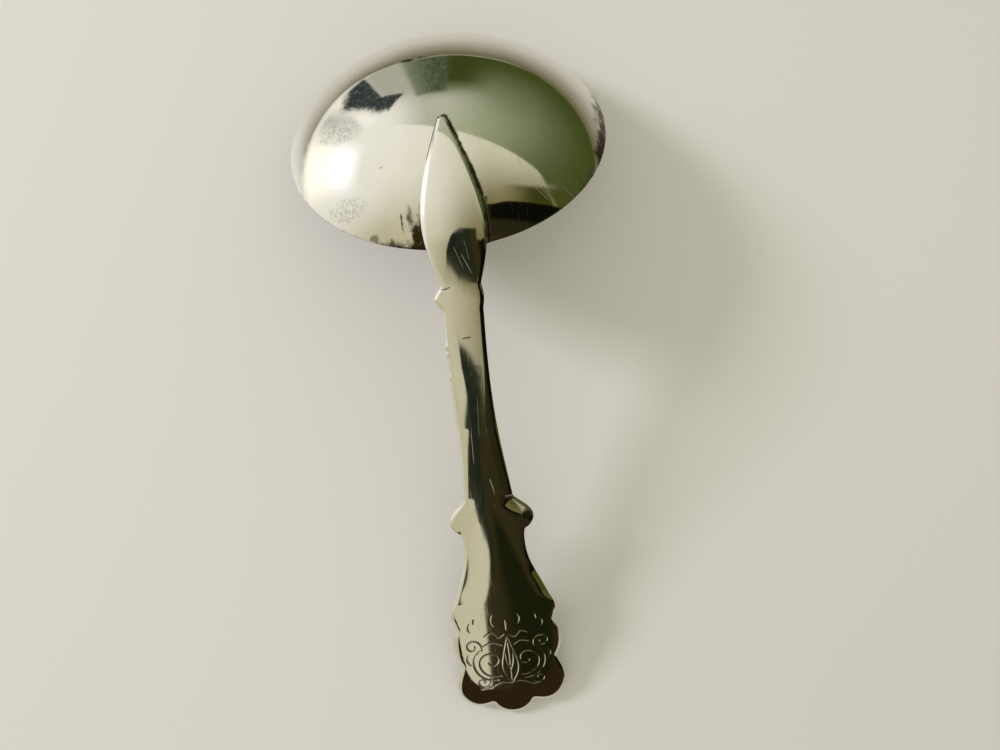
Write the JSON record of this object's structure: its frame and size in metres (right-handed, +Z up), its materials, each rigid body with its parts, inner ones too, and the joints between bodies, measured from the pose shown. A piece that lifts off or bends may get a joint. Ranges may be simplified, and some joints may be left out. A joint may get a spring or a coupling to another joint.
{
  "type": "caddy spoon",
  "caption": "Small silver tea caddy spoon lying face down: a wide shallow oval bowl with a short scalloped handle whose leaf-shaped tongue is soldered to the bowl's back.",
  "frame": {"origin": "middle of the outline seen from above, at the height of what the spoon lies on", "axes": "+Y from the handle's scalloped end towards the bowl's front, +X across, +Z up, away from the open side of the bowl, which faces down"},
  "size_m": [0.041, 0.0952, 0.0216],
  "materials": {
    "bowl_silver": "polished silver, with fine scratches and tarnish at the rim and round the soldered seam",
    "handle_silver": "polished silver, with fine scratches, a worn bevel along its edges and an engraved ornament on the back"
  },
  "bodies": {
    "root": {"bowl": "bowl_silver", "handle": "handle_silver"}
  },
  "joints": []
}
